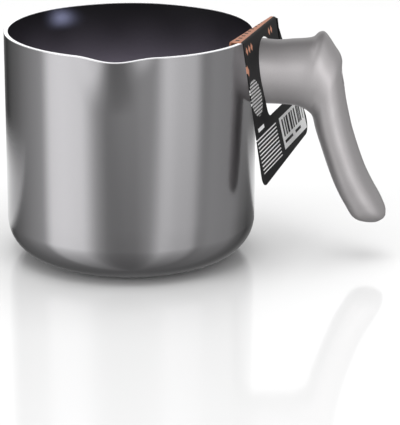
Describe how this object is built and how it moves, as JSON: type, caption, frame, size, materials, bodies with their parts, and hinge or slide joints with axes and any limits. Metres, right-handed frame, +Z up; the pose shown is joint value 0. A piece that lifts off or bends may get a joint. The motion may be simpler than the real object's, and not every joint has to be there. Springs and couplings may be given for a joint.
{
  "type": "milk pan",
  "caption": "Tall round milk pan with a pouring lip, a non-stick lining, a hooked side handle and a folded card tag that swings on the handle's neck.",
  "frame": {"origin": "the centre of the base's underside, on the vessel's axis", "axes": "+X runs out along the handle, -Y is the pouring lip's side, +Z is up"},
  "size_m": [0.1835, 0.127, 0.1108],
  "materials": {
    "vessel_aluminium": "turned and bare at the rim and the base",
    "outer_lacquer": "dark silver metallic coat, semi-gloss",
    "nonstick_lining": "black non-stick coat, satin",
    "disc_steel": "stamped ferritic stainless steel",
    "bracket_aluminium": "die cast",
    "guard_steel": "pressed stainless sheet",
    "soft_touch_bakelite": "moulded, with a silver soft-touch coat",
    "screw_steel": "zinc plated",
    "printed_card": "dark printed card, with a copper strip and a pale panel"
  },
  "bodies": {
    "pan": {"pan_body": "vessel_aluminium", "outer_lacquer": "outer_lacquer", "nonstick_lining": "nonstick_lining", "induction_disc": "disc_steel", "handle_bracket": "bracket_aluminium", "flame_guard": "guard_steel", "handle_grip": "soft_touch_bakelite", "handle_screw": "screw_steel", "plain_washer": "screw_steel", "spring_washer": "screw_steel"},
    "hang_tag": {"tag_card": "printed_card"}
  },
  "joints": [
    {"name": "tag_swing", "type": "hinge", "parent": "pan", "child": "hang_tag", "pos_m": [0.06233, 0, 0.10797], "axis": [0.1994, 0.9799, 0], "range_deg": [-7, 12]}
  ]
}
